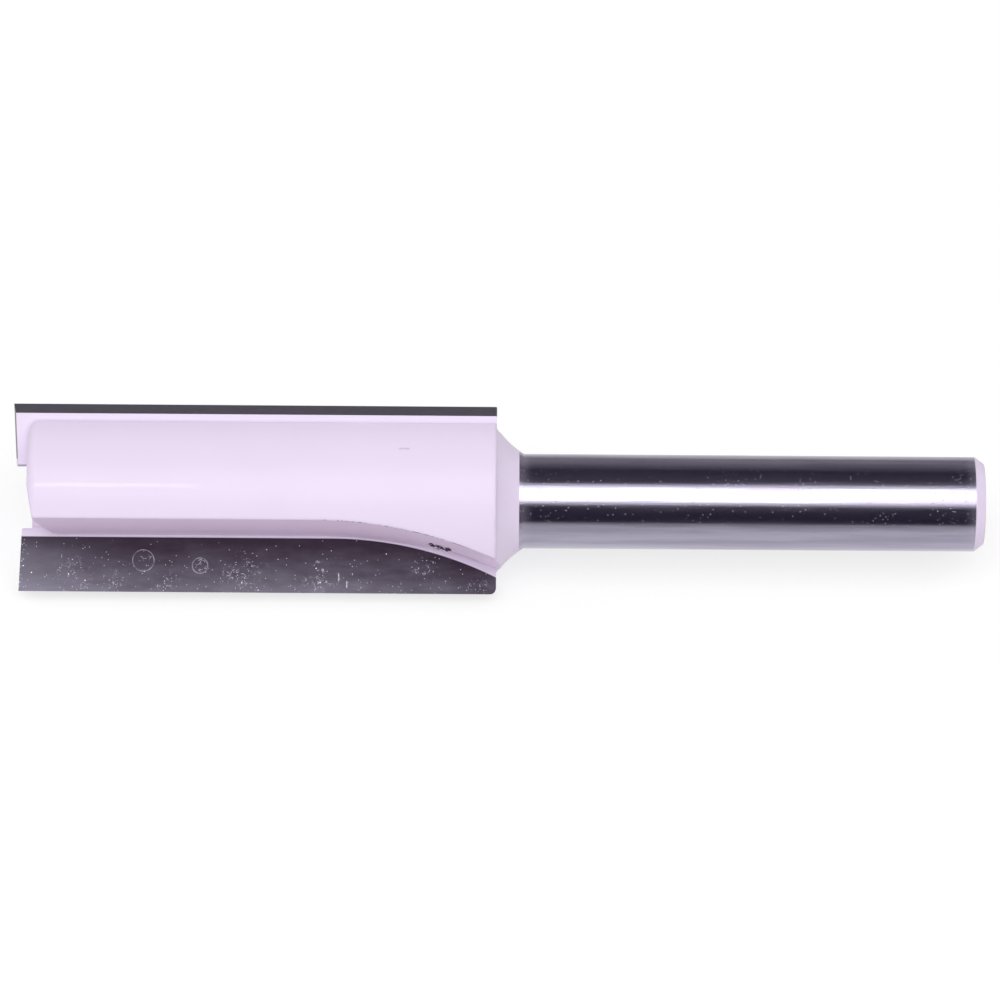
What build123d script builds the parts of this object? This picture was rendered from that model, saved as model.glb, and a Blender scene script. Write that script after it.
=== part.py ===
from build123d import *
from math import atan2, cos, degrees, hypot, radians, sin, sqrt, tan
import os

# Two-flute straight router bit. One steel bar is turned to a shank, a concave collar and a body,
# two gullets are milled along the body with an angled disc, and a carbide tip is brazed into a
# slot in each gullet. The bit turns clockwise seen from the shank end.
#
# Millimetres and degrees. The bit is worked out in a tool frame: X runs along its axis from the
# leading tip's end to the shank end, flute A has its tip towards +Z and cuts towards +Y, and
# flute B is flute A turned half a turn about X. At the end of the file the pieces are rolled
# about X to the attitude in which the bit lies on a bench, with the origin at mid-shank.

# --- main sizes -------------------------------------------------------------------------------
cutting_diameter = 12.7
overall_length = 65.1
body_diameter = 11.4
nose_setback = 1.15          # leading tip's end to the body's nose face
nose_rim_radius = 0.62
body_end_x = 32.4            # end of the body and of the tips
body_end_edge_radius = 0.2

# --- collar and shank -------------------------------------------------------------------------
shank_diameter = 6.35
shoulder_height = 0.8        # step from the body down to the collar
collar_length = 1.82
collar_sweep_radius = 6.0
shank_chamfer_length = 0.62
shank_chamfer_depth = 0.46
shank_end_edge_radius = 0.12

# --- carbide tips -----------------------------------------------------------------------------
tip_thickness = 1.5
tip_inner_height = 2.08      # the tip's inner edge above the bit's axis
rake_offset = 0.8            # the rake face's distance behind the axis, which gives the hook
radial_relief = 16.0         # flank against the tangent of the cutting circle
end_relief = 8.0             # tip's end face, falling away behind the end cutting edge
dish_angle = 2.8             # tip's end cutting edge, falling away towards the axis
tip_a_rear_radius = 0.08     # rear outer corner, nearly as cut on tip A
tip_b_rear_radius = 0.4      # and ground round on tip B
tip_inner_edge_radius = 0.18
tip_b_setback = 0.25         # tip B is ground this much shorter than tip A

# --- gullets and tip slots --------------------------------------------------------------------
gullet_runout_x = 20.3       # where the gullet cutter's centre stops, past which its run-out rises
gullet_cutter_radius = 30.8  # at the gullet wall's foot
gullet_cutter_angle = 30.0   # the cutter is a cone that narrows by this towards the heel
gullet_foot_height = 2.45    # gullet wall above the axis, at the rake face
gullet_wall_angle = 10.0     # the wall leans back from the rake face's normal
heel_edge_radius = 0.15      # where the gullet wall meets the round body
slot_runout_x = 21.4         # where the slot cutter's centre stops
slot_cutter_radius = 25.0
braze_thickness = 0.08       # solder between the tip and its slot
braze_fillet_radius = 0.3    # solder bead behind the tip
braze_bead_width = 0.14      # the bead stops this far from the tip, where it is still a thin lip

# --- relief ground on each wing's nose ----------------------------------------------------------
nose_relief_start = -0.95    # height on the wing at which the relief starts
nose_relief_angle = 10.0
gash_reach = 1.5             # along the gullet wall's foot, from the nose face
gash_angle = 40.0

# --- how it lies --------------------------------------------------------------------------------
rest_roll = -52.0            # about X; the round back of wing B is lowest, clear of tip B's flank

# --- values that follow -------------------------------------------------------------------------
body_radius = body_diameter / 2
shank_radius = shank_diameter / 2
collar_radius = body_radius - shoulder_height
cutting_radius = cutting_diameter / 2
collar_end_x = body_end_x + collar_length
shank_chamfer_x = overall_length - shank_chamfer_length
shank_middle_x = (collar_end_x + shank_chamfer_x) / 2
rake_y = -rake_offset
tip_back_y = rake_y - tip_thickness
slot_back_y = tip_back_y - braze_thickness
slot_height = tip_inner_height - braze_thickness
edge_height = sqrt(cutting_radius**2 - rake_offset**2)
hook_angle = degrees(atan2(rake_offset, edge_height))
flank_drop = tip_thickness * tan(radians(radial_relief + hook_angle))
flank_back_height = edge_height - flank_drop
past = cutting_diameter      # how far a cutter's space reaches past the body
same_place = 0.001           # points nearer than this are one point


def turned_blank():
    """The bar as it leaves the lathe: nose, body, shoulder, concave collar, shank and chamfer."""
    nose = nose_setback
    rim = nose_rim_radius
    edge = body_end_edge_radius
    end_radius = shank_radius - shank_chamfer_depth
    chamfer_turn = atan2(shank_chamfer_length, shank_chamfer_depth)
    end_tangent = shank_end_edge_radius * tan(chamfer_turn / 2)
    chamfer_size = hypot(shank_chamfer_length, shank_chamfer_depth)
    on_chamfer = (
        overall_length - end_tangent * shank_chamfer_length / chamfer_size,
        end_radius + end_tangent * shank_chamfer_depth / chamfer_size,
    )
    on_end = (overall_length, end_radius - end_tangent)
    outline = [
        Line((nose, 0), (nose, body_radius - rim)),
        RadiusArc((nose, body_radius - rim), (nose + rim, body_radius), rim),
        Line((nose + rim, body_radius), (body_end_x - edge, body_radius)),
        RadiusArc((body_end_x - edge, body_radius), (body_end_x, body_radius - edge), edge),
        Line((body_end_x, body_radius - edge), (body_end_x, collar_radius)),
        RadiusArc((body_end_x, collar_radius), (collar_end_x, shank_radius), -collar_sweep_radius),
        Line((collar_end_x, shank_radius), (shank_chamfer_x, shank_radius)),
        Line((shank_chamfer_x, shank_radius), on_chamfer),
        RadiusArc(on_chamfer, on_end, shank_end_edge_radius),
        Line(on_end, (overall_length, 0)),
        Line((overall_length, 0), (nose, 0)),
    ]
    return revolve(make_face(outline), Axis.X, 360)


def lane(points, end_x):
    """A section given as (y, z) points, run along X from before the nose up to end_x."""
    section = Plane.YZ.offset(-past) * make_face(Polyline(*points, close=True))
    return extrude(section, end_x + past)


def block(low, high):
    """A block between two corners."""
    return Pos(*low) * Box(*(high[i] - low[i] for i in range(3)), align=(Align.MIN,) * 3)


def along(start, angle, distance):
    """The (y, z) point that lies distance from start, in a direction angled up from +Y."""
    return (
        start[0] + distance * cos(radians(angle)),
        start[1] + distance * sin(radians(angle)),
    )


def gullet_cutter():
    """The cone-shaped cutter where it stops. Its edge lies along the gullet wall."""
    foot = (rake_y, gullet_foot_height)
    axis_angle = -gullet_wall_angle - gullet_cutter_angle
    above_foot = along(foot, axis_angle + 90, gullet_cutter_radius)
    reach = past * cos(radians(gullet_cutter_angle))
    edge = [along(foot, -gullet_wall_angle, distance) for distance in (-past, past)]
    core = [along(above_foot, axis_angle, distance) for distance in (reach, -reach)]
    section = Plane.YZ.offset(gullet_runout_x) * make_face(Polyline(*edge, *core, close=True))
    ends = [(gullet_runout_x, *point) for point in core]
    turning = Axis(ends[0], tuple(ends[1][i] - ends[0][i] for i in range(3)))
    return revolve(section, turning, 360)


def gullet_space():
    """What the cutter takes away in front of the rake face, along the flute and at its run-out."""
    wall_end = along((rake_y, gullet_foot_height), -gullet_wall_angle, 2 * past)
    straight = lane(
        [(rake_y, gullet_foot_height), wall_end, (wall_end[0], past), (rake_y, past)], gullet_runout_x
    )
    in_front = block((-past, rake_y, -past), (overall_length, 2 * past, past))
    return straight + (gullet_cutter() & in_front)


def straight_and_round(height, radius, back_y):
    """All above height between back_y and the rake face, and along an arc past the slot's run-out."""
    corners = [(back_y, height), (rake_y, height), (rake_y, past), (back_y, past)]
    stand = Plane(origin=(slot_runout_x, back_y, height + radius), x_dir=(1, 0, 0), z_dir=(0, 1, 0))
    disc = Cylinder(radius, rake_y - back_y, align=(Align.CENTER, Align.CENTER, Align.MIN))
    return lane(corners, slot_runout_x) + stand * disc


def slot_space():
    """The slot behind the rake face that takes the tip and its film of solder."""
    return straight_and_round(slot_height, slot_cutter_radius, slot_back_y)


def nose_relief_space():
    """End relief on the wing behind the gullet wall, and the gash that frees the tip's inner end."""
    per_height = tan(radians(nose_relief_angle))
    gash_per_height = 1 / tan(radians(gash_angle))
    gash_start = (
        gash_reach - gullet_foot_height * gash_per_height + nose_relief_start * per_height
    ) / (per_height - gash_per_height)
    relief_at_gash = (gash_start - nose_relief_start) * per_height
    outline = Polyline(
        (nose_setback - past, nose_relief_start),
        (nose_setback, nose_relief_start),
        (nose_setback + relief_at_gash, gash_start),
        (nose_setback + gash_reach, gullet_foot_height),
        (nose_setback + gash_reach, past),
        (nose_setback - past, past),
        close=True,
    )
    section = Plane((0, rake_y, 0), x_dir=(1, 0, 0), z_dir=(0, -1, 0)) * make_face(outline)
    return extrude(section, -past)


def touches(edge, x):
    """True for an edge that starts or ends at x."""
    return min(abs((edge @ end).X - x) for end in (0, 1)) < same_place


def carbide_tip(end_x, rear_radius):
    """A carbide plate with ground rake face, flank and end, and an arc to match the slot's run-out."""
    section = [
        (rake_y, slot_height),
        (rake_y, edge_height),
        (tip_back_y, flank_back_height),
        (tip_back_y, slot_height),
    ]
    plate = extrude(Plane.YZ * make_face(Polyline(*section, close=True)), body_end_x)
    rear_edges = plate.faces().sort_by(Axis.X)[-1].edges()
    plate = fillet(rear_edges.sort_by(Axis.Z)[-1], rear_radius)
    plate = plate & straight_and_round(tip_inner_height, slot_cutter_radius - braze_thickness, tip_back_y)
    inner_edges = [
        edge for edge in plate.edges() if touches(edge, slot_runout_x) and edge.length > tip_thickness
    ]
    plate = fillet(inner_edges, tip_inner_edge_radius)
    end_face = Plane(
        origin=(end_x, rake_y, edge_height),
        z_dir=(1, tan(radians(end_relief)), tan(radians(dish_angle))),
    )
    return split(plate, bisect_by=end_face, keep=Keep.TOP)


def other_flute(shape):
    """The same shape on flute B."""
    return Rot(X=180) * shape


def at_rest(shape):
    """From the tool frame to the attitude on the bench, with the origin at mid-shank."""
    return Rot(X=rest_roll) * Pos(X=-shank_middle_x) * shape


def on_body_round(edge):
    """True for an edge whose middle lies on the body's turned diameter."""
    middle = edge @ 0.5
    return abs(hypot(middle.Y, middle.Z) - body_radius) < same_place


def milled_body(blank):
    """The turned bar with its gullets, tip slots, nose relief and rounded heels."""
    body = blank
    for cut in (gullet_space(), slot_space(), nose_relief_space()):
        body = body - cut - other_flute(cut)
    heels = [edge for edge in body.edges() if on_body_round(edge) and touches(edge, gullet_runout_x)]
    return fillet(heels, heel_edge_radius)


def solder_bead(blank):
    """The bead along the corner behind the tip, from the body's end round its rim and down its nose."""
    end_x = body_end_x + past
    rim = nose_rim_radius
    outline = [
        Line((nose_setback, 0), (nose_setback, body_radius - rim)),
        RadiusArc((nose_setback, body_radius - rim), (nose_setback + rim, body_radius), rim),
        Line((nose_setback + rim, body_radius), (end_x, body_radius)),
        Line((end_x, body_radius), (end_x, 0)),
        Line((end_x, 0), (nose_setback, 0)),
    ]
    step = block((0, tip_back_y, -past), (end_x, 0, past))
    stepped = revolve(make_face(outline), Axis.X, 360) + step
    corner = [
        edge
        for edge in stepped.edges()
        if max(abs((edge @ at).Y - tip_back_y) for at in (0, 0.5, 1)) < same_place
        and hypot((edge @ 0.5).Y, (edge @ 0.5).Z) < body_radius + same_place
        and (edge @ 0.5).X < end_x - same_place
    ]
    beaded = fillet(corner, braze_fillet_radius)
    reach = braze_fillet_radius + same_place
    low = (nose_setback - reach, tip_back_y - braze_bead_width, tip_inner_height + tip_inner_edge_radius)
    high = (body_end_x - body_end_edge_radius, tip_back_y, body_radius + reach)
    return (beaded & block(low, high)) - blank


def braze(blank, tip):
    """The solder that holds a tip: the film round it in its slot, and the bead behind it."""
    return ((blank & slot_space()) - tip) + solder_bead(blank)


blank = turned_blank()
tip_a = carbide_tip(0, tip_a_rear_radius)
tip_b = carbide_tip(tip_b_setback, tip_b_rear_radius)
pieces = {
    "cutter_body": milled_body(blank),
    "carbide_tip_a": tip_a,
    "braze_a": braze(blank, tip_a),
    "carbide_tip_b": other_flute(tip_b),
    "braze_b": other_flute(braze(blank, tip_b)),
}

os.makedirs("parts", exist_ok=True)
for name, piece in pieces.items():
    export_step(at_rest(piece), f"parts/{name}.step")
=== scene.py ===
"""Looks of a two-flute straight router bit, lying on a pale studio floor.

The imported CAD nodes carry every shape. This script gives them their paint, ground steel and
carbide, and sets the light and the camera. Lengths in the materials are millimetres in the bit's
own tool frame: X from the leading tip's end to the shank end, flute A's tip towards +Z. The stage,
the lights and the camera are placed in metres, in the scene's frame.
"""
import math
from functools import reduce

import bpy
from mathutils import Matrix, Vector

MM = 0.001                   # a millimetre in the scene's metres

# --- the bit, as the CAD source has it, in millimetres and degrees --------------------------------
REST_ROLL = -52.0            # the bit's roll about X as it lies on the bench
SHANK_MIDDLE_X = 49.35       # the scene's origin, in the tool frame
BODY_RADIUS = 5.7
BODY_END_X = 32.4
COLLAR_END_X = 34.22
RAKE_Y = -0.8
TIP_BACK_Y = -2.3
EDGE_HEIGHT = 6.3            # the cutting edge above the axis
SLOT_RUNOUT = (21.4, 25.0)   # centre and radius of the tip slot's run-out
GULLET_RUNOUT = (20.3, 30.8)
GULLET_FOOT_HEIGHT = 2.45

# --- where the paint ends, in millimetres ---------------------------------------------------------
PAINTED_TO_X = 33.91         # on the collar
SHANK_PAINT_X = 64.43        # and where it starts again at the shank's end
RAKE_PAINT_HEIGHT = 2.61     # the rake face is painted below this height
INNER_END = (1.0, 2.25)      # a tip is bare at its back nearer the nose and the axis than this
INNER_END_BARE = 0.45        # how bare it is there
PAINT_HAZE = 0.1             # how much of the paint is on the bare steel next to it
EASED_EDGE = 0.22            # the radius that paint gives to the edges under it

# --- marks in the paint: from and to along X, in millimetres --------------------------------------
CHIPS = (27.8, 29.5)
CHIPS_DEPTH = (-0.44, 0.34)  # middle and reach of their row, counted past the gullet's foot
SCRAPE = (29.5, 31.2)
SCRAPE_DEPTH = (-0.36, 0.07)
WORN_HEEL = (20.6, 30.5)
SCUFF = (25.9, 26.6)
SCUFF_Z = (3.43, 0.09)       # middle and reach

# --- the shank's bare steel -----------------------------------------------------------------------
PITS_IN_CLEAN = 0.04         # the share of the cells that hold a pit in clean steel
PITS_IN_PATCH = 0.35         # and in a patch
PITS_AT_END = 0.3            # what is added at the painted end
PITS_END_REACH = 3.0         # over this many millimetres before it
COLLAR_FOOT_SLOPE = 0.74     # how far the shading of the collar's bare foot leans, as a slope

# --- marks on the rake face, in millimetres along X and above the axis ----------------------------
PRESS_MARKS = (              # x, height and radius
    (8.65, 4.18, 0.72),
    (12.47, 4.5, 0.52),
)
GRIT_PATCHES = (             # x, height and reach
    (3.9, 5.3, 1.6),
    (6.7, 5.6, 1.1),
    (10.1, 5.6, 1.2),
    (15.4, 5.1, 2.0),
    (20.6, 5.2, 1.6),
    (27.6, 4.5, 1.2),
    (31.2, 5.9, 0.9),
)
NICKS = (                    # x, and from and to in height
    (21.8, 4.85, 5.6),
    (22.35, 5.35, 5.9),
)
PRESS_LINE = 0.048           # half the width of a press mark's line
NICK_LINE = 0.06             # and of a nick

# --- how the rake face is ground, and its painted light and shade; each pair is where a thing sets in and where it is full ---
GRAINS_ALL_OVER = 0.015      # the share of the cells that hold a bright grain
GRAINS_AT_EDGE = 0.09        # and what is added at the cutting edge,
GRAINS_IN_PATCH = 0.45       # in a patch,
GRAINS_BY_NOSE = 0.06        # by the nose
GRAINS_ALONG_END = 0.5       # and along the end's own edge
GRAINS_NOSE_X = (9.0, 1.0)
GRAINS_END_X = (0.8, 0.5)
PAINTED_LIGHT_AT_EDGE = 0.6          # how far the face is painted from shaded to lit at the cutting edge
PAINTED_LIGHT_BY_NOSE = 0.42         # and the painted light added by the nose
PAINTED_LIGHT_NOSE_X = (7.0, 0.0)
PAINTED_LIGHT_LEFT_AT_HEEL = 0.4              # what is left of the painted light at the edge near the tip's heel, where painted shade falls
PAINTED_SHADE_HEEL_X = (22.0, 31.0)

# --- camera, in metres and degrees, with its lens and sensor in millimetres -----------------------
CAMERA_DISTANCE = 0.4368
CAMERA_ELEVATION = -REST_ROLL
CAMERA_AIM_X = -0.01672
CAMERA_RAISED = 0.00006      # the aim passes this far above the bit's axis in the picture
CAMERA_ROLL = 0.41
LENS = 234.0
SENSOR = 36.0

# --- stage, in metres -----------------------------------------------------------------------------
FLOOR_Z = -BODY_RADIUS * MM
FLOOR_HALF = 4.0                          # half the floor's side
FLOOR_PAPER = (0.88, 0.88, 0.88, 1.0)
FLOOR_SHADOWED = (0.32, 0.32, 0.32, 1.0)  # the part of the seen floor that takes a shadow
FLOOR_LIFT = 0.71                         # and the part that doesn't
FLOOR_FADE = 0.07                         # metal sees the floor half as bright this far away
FLAG_CLOTH = (0.042, 0.034, 0.058, 1.0)
TOP_CLOTH = (0.1, 0.09, 0.125, 1.0)
BACKDROP_FOOT = (0.5, 0.5, 0.5, 1.0)
BLACK = (0.0, 0.0, 0.0, 1.0)
WHITE = (1.0, 1.0, 1.0, 1.0)


def rgb(red, green, blue):
    """A colour given as sRGB in 0 to 255, as the linear colour that Blender's sockets take."""
    linear = [
        part / 12.92 if part <= 0.04045 else ((part + 0.055) / 1.055) ** 2.4
        for part in (red / 255, green / 255, blue / 255)
    ]
    return (*linear, 1.0)


# --- colours of the bit ---------------------------------------------------------------------------
LILAC = rgb(233, 220, 242)
LILAC_THIN = rgb(230, 216, 239)
# a deeper, more saturated lilac: painted shade and bounce light in the gullets
LILAC_PAINTED_SHADE = rgb(237, 214, 243)
BARE_CHIP = rgb(38, 22, 42)
STEEL = rgb(174, 169, 188)
STEEL_SMEARED = rgb(160, 154, 174)
GRAIN = rgb(226, 221, 236)
# the rake face's colour in painted shade and in painted light
RAKE_SHADED = rgb(50, 40, 52)
RAKE_LIT = rgb(116, 112, 126)
FLANK = rgb(100, 93, 110)


class Nodes:
    """Short calls that add nodes to one material's tree."""

    def __init__(self, name):
        self.material = bpy.data.materials.new(name)
        self.material.use_nodes = True
        self.tree = self.material.node_tree
        self.tree.nodes.clear()

    def put(self, kind, inputs=None, **settings):
        """A new node, with its settings, and its inputs set to values or linked to sockets."""
        node = self.tree.nodes.new(kind)
        for key, value in settings.items():
            setattr(node, key, value)
        for key, value in (inputs or {}).items():
            if isinstance(value, bpy.types.NodeSocket):
                self.tree.links.new(value, node.inputs[key])
            else:
                node.inputs[key].default_value = value
        return node

    def finish(self, shader):
        """Ends the material with this shader."""
        self.put("ShaderNodeOutputMaterial", {"Surface": shader})
        return self.material

    # numbers

    def math(self, operation, *values):
        """A math node's result."""
        return self.put("ShaderNodeMath", dict(enumerate(values)), operation=operation).outputs[0]

    def fold(self, operation, values):
        """A math node for each value after the first, taking in the result so far."""
        return reduce(lambda result, value: self.math(operation, result, value), values)

    def times(self, *values):
        """The product of several numbers."""
        return self.fold("MULTIPLY", values)

    def plus(self, *values):
        """The sum of several numbers."""
        return self.fold("ADD", values)

    def most(self, *values):
        """The highest of several numbers."""
        return self.fold("MAXIMUM", values)

    def minus(self, value, taken):
        """value less what is taken from it."""
        return self.math("SUBTRACT", value, taken)

    def length(self, across, up):
        """How long a flat vector with these two parts is."""
        return self.math("SQRT", self.plus(self.times(across, across), self.times(up, up)))

    def slope(self, value, zero_at, one_at):
        """0 at one value and 1 at the other, straight between them and level outside."""
        inputs = {"Value": value, "From Min": zero_at, "From Max": one_at}
        return self.put("ShaderNodeMapRange", inputs).outputs[0]

    def step(self, value, zero_at, one_at):
        """0 at one value and 1 at the other, smooth between them and level outside."""
        inputs = {"Value": value, "From Min": zero_at, "From Max": one_at}
        return self.put("ShaderNodeMapRange", inputs, interpolation_type="SMOOTHSTEP").outputs[0]

    def window(self, value, low, high, soft):
        """1 between low and high, and 0 outside, over edges that reach soft to either side."""
        above = self.step(value, low - soft, low + soft)
        below = self.step(value, high + soft, high - soft)
        return self.times(above, below)

    def ridge(self, value, centre, reach):
        """1 at centre, and falling straight to 0 at reach on either side."""
        away = self.math("ABSOLUTE", self.minus(value, centre))
        return self.slope(away, reach, 0.0)

    def blend(self, factor, at_zero, at_one):
        """A number between two others."""
        node = self.put("ShaderNodeMix", {0: factor, 2: at_zero, 3: at_one}, data_type="FLOAT")
        return node.outputs[0]

    # vectors

    def split(self, vector):
        """The x, y and z parts of a vector."""
        return self.put("ShaderNodeSeparateXYZ", {0: vector}).outputs[:3]

    def stretched(self, vector, scales):
        """vector with its parts multiplied by three scales."""
        node = self.put("ShaderNodeVectorMath", {0: vector, 1: scales}, operation="MULTIPLY")
        return node.outputs[0]

    def moved(self, vector, by):
        """vector with another added to it."""
        return self.put("ShaderNodeVectorMath", {0: vector, 1: by}, operation="ADD").outputs[0]

    def tool_place(self):
        """The shaded point in the tool frame, in millimetres."""
        place = self.put("ShaderNodeTexCoord").outputs["Object"]
        scaled = self.stretched(place, (1 / MM, 1 / MM, 1 / MM))
        turn = {"Vector": scaled, "Angle": math.radians(-REST_ROLL)}
        turned = self.put("ShaderNodeVectorRotate", turn, rotation_type="X_AXIS").outputs[0]
        return self.moved(turned, (SHANK_MIDDLE_X, 0, 0))

    # textures

    def noise(self, vector, scale, detail=2.0, roughness=0.5):
        """Noise in 0 to 1, with scale features per millimetre."""
        inputs = {"Vector": vector, "Scale": scale, "Detail": detail, "Roughness": roughness}
        return self.put("ShaderNodeTexNoise", inputs).outputs[0]

    def streaks(self, vector, scales, detail=2.0, roughness=0.5):
        """Noise drawn out by its own scales along x, y and z, in features per millimetre."""
        return self.noise(self.stretched(vector, scales), 1.0, detail, roughness)

    def specks(self, vector, per_mm, share, radius):
        """Scattered dots: a share of the cells has one, and radius is in cells."""
        cells = self.put("ShaderNodeTexVoronoi", {"Vector": vector, "Scale": per_mm}).outputs
        chosen = self.math("LESS_THAN", self.split(cells["Color"])[0], share)
        return self.times(chosen, self.step(cells["Distance"], radius, radius / 2))

    # surfaces

    def mix(self, factor, below, above):
        """The colour below, covered by the colour above as far as factor says."""
        node = self.put("ShaderNodeMix", {0: factor, 6: below, 7: above}, data_type="RGBA")
        return node.outputs[2]

    def bump(self, height, depth_mm, normal=None):
        """A normal bent by height, of which 1 stands for depth_mm."""
        inputs = {"Height": height, "Strength": 1.0, "Distance": depth_mm * MM}
        if normal is not None:
            inputs["Normal"] = normal
        return self.put("ShaderNodeBump", inputs).outputs[0]

    def principled(self, inputs):
        """Blender's main shader."""
        return self.put("ShaderNodeBsdfPrincipled", inputs).outputs[0]

    def diffuse(self, colour):
        """A matt shader."""
        return self.put("ShaderNodeBsdfDiffuse", {"Color": colour}).outputs[0]

    def cover(self, factor, below, above):
        """The shader below, covered by the shader above as far as factor says."""
        return self.put("ShaderNodeMixShader", {0: factor, 1: below, 2: above}).outputs[0]


# --- places on the bit ----------------------------------------------------------------------------
def flute_place(nodes, place):
    """x, the place across the rake face's plane and the height above the axis, in either flute."""
    x, y, z = nodes.split(place)
    flute = nodes.math("SIGN", z)
    return x, nodes.times(y, flute), nodes.times(z, flute)


def in_flute_b(nodes, place):
    """1 on flute B's half of the bit and 0 on flute A's."""
    return nodes.math("LESS_THAN", nodes.split(place)[2], 0.0)


def from_axis(nodes, place):
    """The distance from the bit's axis."""
    _, y, z = nodes.split(place)
    return nodes.length(y, z)


def beyond_runout(nodes, x, height, runout, foot_height):
    """How far a place lies past a milled lane's foot, whose end rises round the cutter."""
    centre_x, radius = runout
    along = nodes.most(nodes.minus(x, centre_x), 0.0)
    down = nodes.minus(foot_height + radius, height)
    return nodes.minus(radius, nodes.length(along, down))


def distance_from(nodes, x, height, centre_x, centre_height):
    """The distance from a point of the rake face."""
    return nodes.length(nodes.minus(x, centre_x), nodes.minus(height, centre_height))


# --- paint ----------------------------------------------------------------------------------------
def lilac_paint(nodes, place, grit_and_gullet_shade=0.0, chipped=0.0, normal=None):
    """Semi-gloss paint with a faint mottle and orange peel, deeper lilac as painted shade in the
    gullets, dark where it is chipped.
    """
    mottle = nodes.step(nodes.noise(place, 0.16), 0.3, 0.75)
    skin = nodes.mix(nodes.times(mottle, 0.5), LILAC, LILAC_THIN)
    peel = nodes.noise(place, 1.6, detail=3)
    return nodes.principled({
        "Base Color": nodes.mix(chipped, nodes.mix(grit_and_gullet_shade, skin, LILAC_PAINTED_SHADE), BARE_CHIP),
        "Roughness": nodes.blend(mottle, 0.42, 0.5),
        "Specular IOR Level": 0.1,
        "Normal": nodes.bump(peel, 0.0035, normal),
        "Coat Weight": 0.22,
        "Coat Roughness": 0.03,
    })


def gullet_painted_shade(nodes, place):
    """1 in a gullet, where the paint gets a deeper lilac as painted shade, and 0 on the round back
    and the ends.
    """
    x, forward, _ = flute_place(nodes, place)
    under_back = nodes.step(from_axis(nodes, place), BODY_RADIUS - 0.03, BODY_RADIUS - 0.12)
    before_collar = nodes.step(x, BODY_END_X + 0.02, BODY_END_X - 0.1)
    before_tip = nodes.step(forward, RAKE_Y - 0.05, RAKE_Y + 0.05)
    return nodes.times(under_back, before_collar, before_tip)


def chips(nodes, place):
    """Small chips in the paint at the heel of flute B's gullet wall, and a scrape after them."""
    x, _, height = flute_place(nodes, place)
    past_foot = beyond_runout(nodes, x, height, GULLET_RUNOUT, GULLET_FOOT_HEIGHT)
    row = nodes.times(nodes.ridge(past_foot, *CHIPS_DEPTH), nodes.window(x, *CHIPS, 0.25))
    grit = nodes.streaks(place, (5.0, 2.0, 2.0), roughness=0.6)
    flecks = nodes.step(nodes.plus(grit, nodes.times(row, 0.5)), 0.83, 0.88)
    scrape = nodes.times(nodes.ridge(past_foot, *SCRAPE_DEPTH), nodes.window(x, *SCRAPE, 0.2), 0.3)
    return nodes.times(nodes.most(flecks, scrape), in_flute_b(nodes, place))


def worn_heel(nodes, place):
    """Paint worn thin in dashes along the heel edge of flute B's gullet."""
    x, forward, _ = flute_place(nodes, place)
    by_back = nodes.window(from_axis(nodes, place), BODY_RADIUS - 0.22, BODY_RADIUS - 0.04, 0.03)
    at_heel = nodes.times(by_back, nodes.step(forward, 0.0, 0.2), in_flute_b(nodes, place))
    along = nodes.window(x, *WORN_HEEL, 0.6)
    dashes = nodes.step(nodes.streaks(place, (1.6, 0.4, 0.4), detail=3, roughness=0.7), 0.42, 0.58)
    return nodes.times(at_heel, along, dashes, 0.65)


def scuff(nodes, place):
    """A faint scuff in the paint of one wing's round back."""
    x, y, z = nodes.split(place)
    line = nodes.times(nodes.window(x, *SCUFF, 0.1), nodes.ridge(z, *SCUFF_Z))
    broken = nodes.slope(nodes.noise(place, 3.0), 0.3, 0.6)
    on_wing = nodes.math("LESS_THAN", y, 0.0)
    return nodes.times(line, broken, on_wing, 0.3)


# --- bare steel -----------------------------------------------------------------------------------
def steel_pits(nodes, place):
    """Tiny pits in patches, with more of them towards the shank's end."""
    patches = nodes.step(nodes.noise(place, 0.35, detail=3, roughness=0.6), 0.42, 0.62)
    by_patch = nodes.blend(patches, PITS_IN_CLEAN, PITS_IN_PATCH)
    towards_end = nodes.slope(nodes.split(place)[0], SHANK_PAINT_X - PITS_END_REACH, SHANK_PAINT_X)
    share = nodes.plus(by_patch, nodes.times(towards_end, PITS_AT_END))
    return nodes.specks(place, per_mm=6.0, share=share, radius=0.3)


def ground_steel(nodes, place):
    """Bright shank steel: fine grinding lines, faint smears along it, and patches of tiny pits."""
    smears = nodes.streaks(place, (0.09, 1.3, 1.3), detail=4, roughness=0.6)
    cloudy = nodes.step(smears, 0.38, 0.68)
    up_to_foot = nodes.math("MINIMUM", nodes.split(place)[0], COLLAR_END_X)
    round_lines = nodes.streaks(place, (9, 0.2, 0.2))
    long_lines = nodes.streaks(place, (0.25, 7, 7), detail=3)
    normal = nodes.bump(nodes.times(up_to_foot, COLLAR_FOOT_SLOPE), 1.0)
    normal = nodes.bump(round_lines, 0.0015, normal)
    normal = nodes.bump(long_lines, 0.0024, normal)
    return nodes.principled({
        "Base Color": nodes.mix(cloudy, STEEL, STEEL_SMEARED),
        "Metallic": 1.0,
        "Roughness": nodes.blend(cloudy, 0.15, 0.22),
        "Normal": nodes.bump(steel_pits(nodes, place), 0.006, normal),
    })


# --- ground carbide -------------------------------------------------------------------------------
def scratches(nodes, place):
    """Short curling scratches."""
    wander = nodes.put("ShaderNodeTexNoise", {"Vector": place, "Scale": 1.6}).outputs["Color"]
    inputs = {"Vector": nodes.moved(place, wander), "Scale": 2.6}
    lines = nodes.put("ShaderNodeTexVoronoi", inputs, feature="DISTANCE_TO_EDGE").outputs[0]
    broken = nodes.step(nodes.noise(place, 2.8), 0.5, 0.58)
    return nodes.times(nodes.step(lines, 0.055, 0.0), broken)


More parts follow.
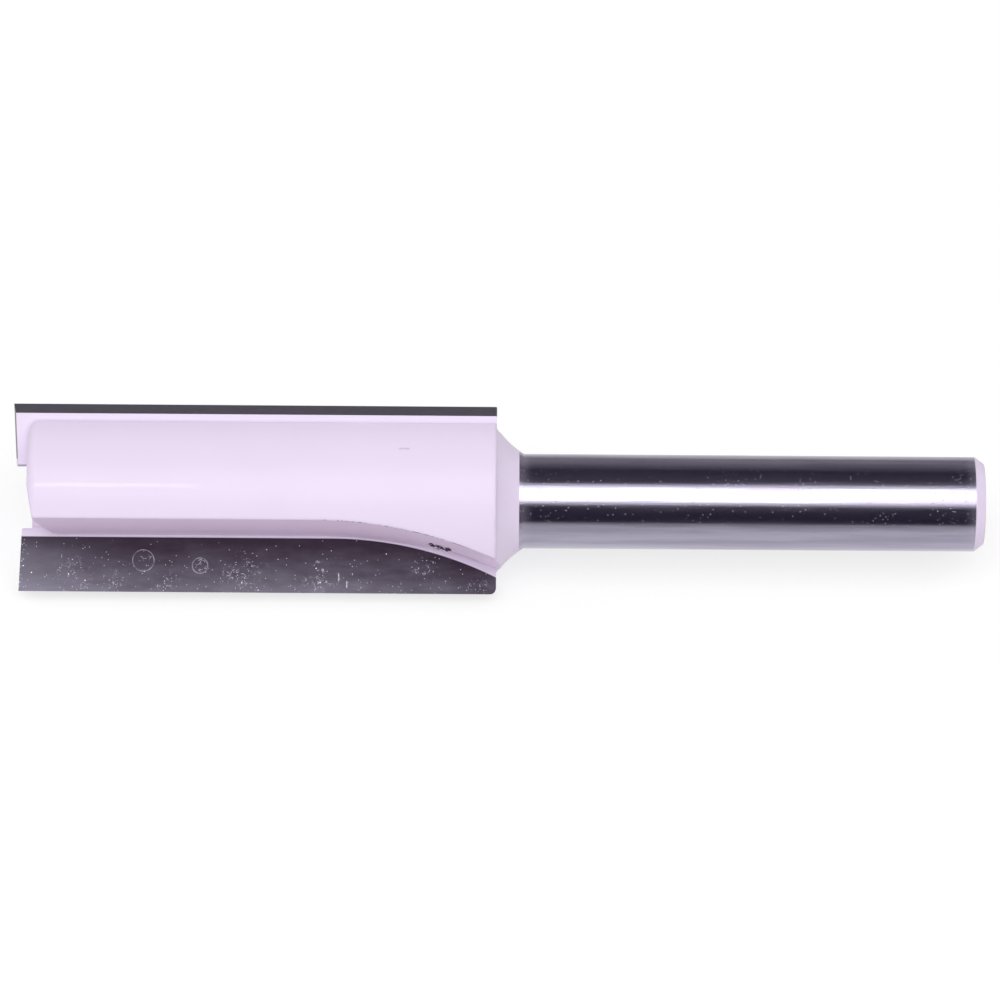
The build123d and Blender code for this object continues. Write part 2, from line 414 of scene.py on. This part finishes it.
def press_marks(nodes, place, x, height):
    """Faint, broken round lines in the rake face, and how far a place lies inside one."""
    lines, inside = 0.0, 0.0
    for centre_x, centre_height, radius in PRESS_MARKS:
        distance = distance_from(nodes, x, height, centre_x, centre_height)
        lines = nodes.most(lines, nodes.ridge(distance, radius, PRESS_LINE))
        inside = nodes.most(inside, nodes.step(distance, radius, radius - 0.1))
    wear = nodes.slope(nodes.noise(place, 2.4, detail=3), 0.28, 0.62)
    return nodes.times(lines, wear), inside


def grit_patches(nodes, place, x, height):
    """Where bright grains and scratches gather."""
    grit_and_gullet_shade = 0.0
    for centre_x, centre_height, reach in GRIT_PATCHES:
        distance = distance_from(nodes, x, height, centre_x, centre_height)
        grit_and_gullet_shade = nodes.most(grit_and_gullet_shade, nodes.slope(distance, reach, 0.0))
    cloud = nodes.step(nodes.noise(place, 1.1, detail=3, roughness=0.6), 0.36, 0.62)
    return nodes.times(grit_and_gullet_shade, cloud)


def nicks(nodes, place, x, height):
    """Short, broken upright nicks in the rake face."""
    made = 0.0
    for nick_x, low, high in NICKS:
        nick = nodes.times(nodes.ridge(x, nick_x, NICK_LINE), nodes.window(height, low, high, 0.08))
        made = nodes.most(made, nick)
    broken = nodes.slope(nodes.noise(place, 3.0), 0.3, 0.7)
    return nodes.times(made, broken)


def bright_grains(nodes, place, x, towards_edge, patches):
    """Fine and coarse bright grains, denser at the edges, by the nose and in the patches."""
    share = nodes.plus(
        nodes.times(towards_edge, GRAINS_AT_EDGE),
        GRAINS_ALL_OVER,
        nodes.times(patches, GRAINS_IN_PATCH),
        nodes.times(nodes.slope(x, *GRAINS_NOSE_X), GRAINS_BY_NOSE),
        nodes.times(nodes.slope(x, *GRAINS_END_X), GRAINS_ALONG_END),
    )
    fine = nodes.specks(place, per_mm=7.0, share=nodes.times(share, 1.5), radius=0.25)
    coarse = nodes.specks(place, per_mm=3.6, share=nodes.times(share, 0.45), radius=0.18)
    return nodes.most(nodes.times(fine, 0.6), coarse)


def rake_marks(nodes, place, x, height, towards_edge):
    """Everything bright in the ground rake face: grains, scratches, press marks and nicks."""
    patches = grit_patches(nodes, place, x, height)
    grains = bright_grains(nodes, place, x, towards_edge, patches)
    rounds, inside = press_marks(nodes, place, x, height)
    scored = nodes.most(patches, nodes.times(inside, 0.5))
    curls = nodes.times(scratches(nodes, place), scored, 0.75)
    upright = nodes.times(nicks(nodes, place, x, height), 1.1)
    return nodes.most(grains, curls, nodes.times(rounds, 0.33), upright)


def rake_painted_light(nodes, place, x, towards_edge):
    """How bright the ground rake face is painted: painted light along its edge and towards the nose,
    painted shade lower down and towards the tip's heel, with a random cloud.
    """
    off_paint = nodes.slope(towards_edge, -0.1, 0.3)
    towards_nose = nodes.times(nodes.slope(x, *PAINTED_LIGHT_NOSE_X), off_paint)
    heel_shade = nodes.blend(nodes.slope(x, *PAINTED_SHADE_HEEL_X), 1.0, PAINTED_LIGHT_LEFT_AT_HEEL)
    along_edge = nodes.times(nodes.math("POWER", towards_edge, 1.7), PAINTED_LIGHT_AT_EDGE, heel_shade)
    cloud = nodes.minus(nodes.streaks(place, (0.35, 1.1, 1.1), detail=3, roughness=0.6), 0.5)
    clouded = nodes.times(cloud, nodes.blend(towards_edge, 0.15, 0.8))
    painted_light = nodes.plus(along_edge, nodes.times(towards_nose, PAINTED_LIGHT_BY_NOSE), clouded)
    return nodes.slope(painted_light, 0.0, 1.0)


def ground_carbide(nodes, place, x, forward, height):
    """Ground carbide: a rake face with painted light towards its edges, and an even flank."""
    towards_edge = nodes.slope(height, RAKE_PAINT_HEIGHT, EDGE_HEIGHT)
    face = nodes.mix(rake_painted_light(nodes, place, x, towards_edge), RAKE_SHADED, RAKE_LIT)
    face = nodes.mix(rake_marks(nodes, place, x, height, towards_edge), face, GRAIN)
    on_face = nodes.step(forward, RAKE_Y - 0.05, RAKE_Y - 0.01)
    grinding = nodes.streaks(place, (0.6, 14, 14))
    return nodes.principled({
        "Base Color": nodes.mix(on_face, FLANK, face),
        "Metallic": 1.0,
        "Roughness": nodes.blend(nodes.noise(place, 1.3, detail=3), 0.3, 0.46),
        "Normal": nodes.bump(grinding, 0.002),
    })


def bare_carbide(nodes, x, forward, height):
    """1 where a tip is ground, and partly bare at the inner back of its end."""
    past_paint = beyond_runout(nodes, x, height, SLOT_RUNOUT, RAKE_PAINT_HEIGHT)
    ground = nodes.step(past_paint, -0.03, 0.03)
    off_back = nodes.step(forward, TIP_BACK_Y + 0.005, TIP_BACK_Y + 0.02)
    end_x, inner_height = INNER_END
    on_end = nodes.step(x, end_x, end_x - 0.1)
    inner = nodes.step(height, inner_height, inner_height - 0.08)
    towards_back = nodes.step(forward, RAKE_Y - 0.7, RAKE_Y - 0.8)
    inner_end = nodes.times(on_end, inner, towards_back, INNER_END_BARE)
    return nodes.most(nodes.times(ground, off_back), inner_end)


# --- the bit's materials --------------------------------------------------------------------------
def painted_steel():
    """Paint on the body, collar and shank end, and bare ground steel between them."""
    nodes = Nodes("painted_steel")
    place = nodes.tool_place()
    x = nodes.split(place)[0]
    bare = nodes.window(x, PAINTED_TO_X, SHANK_PAINT_X, 0.03)
    off_paint = nodes.window(x, PAINTED_TO_X + 0.5, SHANK_PAINT_X - 0.3, 0.5)
    shown = nodes.times(bare, nodes.blend(off_paint, 1.0 - PAINT_HAZE, 1.0))
    eased = nodes.put("ShaderNodeBevel", {"Radius": EASED_EDGE * MM}, samples=6).outputs[0]
    chipped = nodes.most(chips(nodes, place), worn_heel(nodes, place), scuff(nodes, place))
    # the gullet walls get a deeper lilac as painted shade
    paint = lilac_paint(nodes, place, gullet_painted_shade(nodes, place), chipped, eased)
    return nodes.finish(nodes.cover(shown, paint, ground_steel(nodes, place)))


def carbide():
    """Ground carbide on the rake face, flank and end, and paint elsewhere."""
    nodes = Nodes("carbide")
    place = nodes.tool_place()
    x, forward, height = flute_place(nodes, place)
    metal = ground_carbide(nodes, place, x, forward, height)
    bare = bare_carbide(nodes, x, forward, height)
    return nodes.finish(nodes.cover(bare, lilac_paint(nodes, place), metal))


def painted_solder():
    """Paint over the solder."""
    nodes = Nodes("painted_solder")
    return nodes.finish(lilac_paint(nodes, nodes.tool_place()))


def dress(frame):
    """Gives each CAD node its material."""
    finishes = {
        "cutter_body": painted_steel(),
        "carbide": carbide(),
        "braze": painted_solder(),
    }
    for name, node in frame["nodes"].items():
        finish = next(made for start, made in finishes.items() if name.startswith(start))
        node.data.materials.clear()
        node.data.materials.append(finish)


# --- stage, lights and camera ---------------------------------------------------------------------
def floor_material():
    """A pale floor, white to the camera, that keeps the object's shadow and fades in metal."""
    nodes = Nodes("studio_floor")
    path = nodes.put("ShaderNodeLightPath").outputs
    seen = nodes.most(path["Is Camera Ray"], path["Is Glossy Ray"], path["Is Transmission Ray"])
    y = nodes.split(nodes.put("ShaderNodeTexCoord").outputs["Object"])[1]
    beyond = nodes.plus(nodes.math("ABSOLUTE", y), FLOOR_FADE)
    level = nodes.blend(path["Is Camera Ray"], nodes.math("DIVIDE", FLOOR_FADE, beyond), 1.0)
    shadowed = nodes.diffuse(nodes.mix(level, BLACK, FLOOR_SHADOWED))
    lift = nodes.times(level, FLOOR_LIFT)
    lit = nodes.put("ShaderNodeEmission", {"Strength": lift}).outputs[0]
    shown = nodes.put("ShaderNodeAddShader", {0: shadowed, 1: lit}).outputs[0]
    return nodes.finish(nodes.cover(seen, nodes.diffuse(FLOOR_PAPER), shown))


def cloth_material(name, colour):
    """Dark cloth of a studio flag."""
    nodes = Nodes(name)
    return nodes.finish(nodes.diffuse(colour))


def backdrop_material():
    """A dark backdrop that is paler towards the floor."""
    nodes = Nodes("studio_backdrop")
    height = nodes.split(nodes.put("ShaderNodeTexCoord").outputs["Generated"])[2]
    return nodes.finish(nodes.diffuse(nodes.mix(height, BACKDROP_FOOT, TOP_CLOTH)))


def add_object(name, data):
    """A new object in the scene, for this mesh, lamp or lens."""
    made = bpy.data.objects.new(name, data)
    bpy.context.scene.collection.objects.link(made)
    return made


def card(name, centre, across, up, material):
    """A flat card with its centre and its two half edges given."""
    centre, across, up = Vector(centre), Vector(across), Vector(up)
    corners = [centre - across - up, centre + across - up, centre + across + up, centre - across + up]
    mesh = bpy.data.meshes.new(name)
    mesh.from_pydata(corners, [], [(0, 1, 2, 3)])
    mesh.materials.append(material)
    made = add_object(name, mesh)
    return made


def in_front(elevation):
    """The direction from the bit towards its front and up by an angle in degrees."""
    up = math.radians(elevation)
    return Vector((0, -math.cos(up), math.sin(up)))


def area_light(name, elevation, distance, size, radiance, shift=0.0):
    """A soft light in front of the bit and facing it, then shifted along it."""
    lamp = bpy.data.lights.new(name, "AREA")
    lamp.shape = "RECTANGLE"
    lamp.size, lamp.size_y = size
    lamp.energy = radiance * math.pi * size[0] * size[1]
    made = add_object(name, lamp)
    made.location = in_front(elevation) * distance + Vector((shift, 0, 0))
    made.rotation_euler = in_front(elevation).to_track_quat("Z", "Y").to_euler()


def room_light():
    """An even white world."""
    world = bpy.data.worlds.new("studio")
    world.use_nodes = True
    background = world.node_tree.nodes["Background"]
    background.inputs["Color"].default_value = WHITE
    background.inputs["Strength"].default_value = 1.0
    bpy.context.scene.world = world


def studio():
    """Floor, flags that the camera doesn't see, soft lights and the room's own light."""
    card("studio_floor", (0, 0, FLOOR_Z), (FLOOR_HALF, 0, 0), (0, FLOOR_HALF, 0), floor_material())
    flag = cloth_material("studio_flag", FLAG_CLOTH)
    top_flag = cloth_material("studio_top_flag", TOP_CLOTH)
    shades = [
        card("front_flag", (0, -0.55, 0.27), (0.26, 0, 0), (0, 0, 0.275), flag),
        card("backdrop", (0, 0.62, 0.31), (0.3, 0, 0), (0, 0, 0.315), backdrop_material()),
        card("top_flag", (0, 0.34, 0.62), (0.3, 0, 0), (0, 0.28, 0), top_flag),
        card("shank_end_flag", (0.45, 0, 0.15), (0, 0.25, 0), (0, 0, 0.15), flag),
        card("nose_end_flag", (-0.45, 0, 0.10), (0, 0.2, 0), (0, 0, 0.10), flag),
    ]
    for shade in shades:
        shade.visible_camera = False
    area_light("softbox", elevation=70, distance=0.55, size=(0.5, 0.35), radiance=2.25)
    area_light("strip", elevation=69.5, distance=0.54, size=(0.05, 0.052), radiance=9.0, shift=-0.087)
    room_light()


def camera():
    """The camera, in front of the bit and above it, and turned a little about its own axis."""
    lens = bpy.data.cameras.new("camera")
    lens.lens = LENS
    lens.sensor_width = SENSOR
    lens.clip_start = 0.01
    aim = Vector((CAMERA_AIM_X, 0, 0)) + in_front(CAMERA_ELEVATION + 90) * CAMERA_RAISED
    stand = Matrix.Translation(aim + in_front(CAMERA_ELEVATION) * CAMERA_DISTANCE)
    tilt = Matrix.Rotation(math.radians(90 - CAMERA_ELEVATION), 4, "X")
    roll = Matrix.Rotation(math.radians(CAMERA_ROLL), 4, "Z")
    made = add_object("camera", lens)
    made.matrix_world = stand @ tilt @ roll
    bpy.context.scene.camera = made


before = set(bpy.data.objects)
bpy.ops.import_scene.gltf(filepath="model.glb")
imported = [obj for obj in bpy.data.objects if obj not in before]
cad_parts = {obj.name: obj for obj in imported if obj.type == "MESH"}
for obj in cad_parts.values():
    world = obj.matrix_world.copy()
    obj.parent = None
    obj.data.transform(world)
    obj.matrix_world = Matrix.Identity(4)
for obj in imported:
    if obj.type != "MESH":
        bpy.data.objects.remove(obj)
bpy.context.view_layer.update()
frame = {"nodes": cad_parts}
dress(frame)
studio()
camera()
bpy.context.scene.view_settings.view_transform = "Standard"
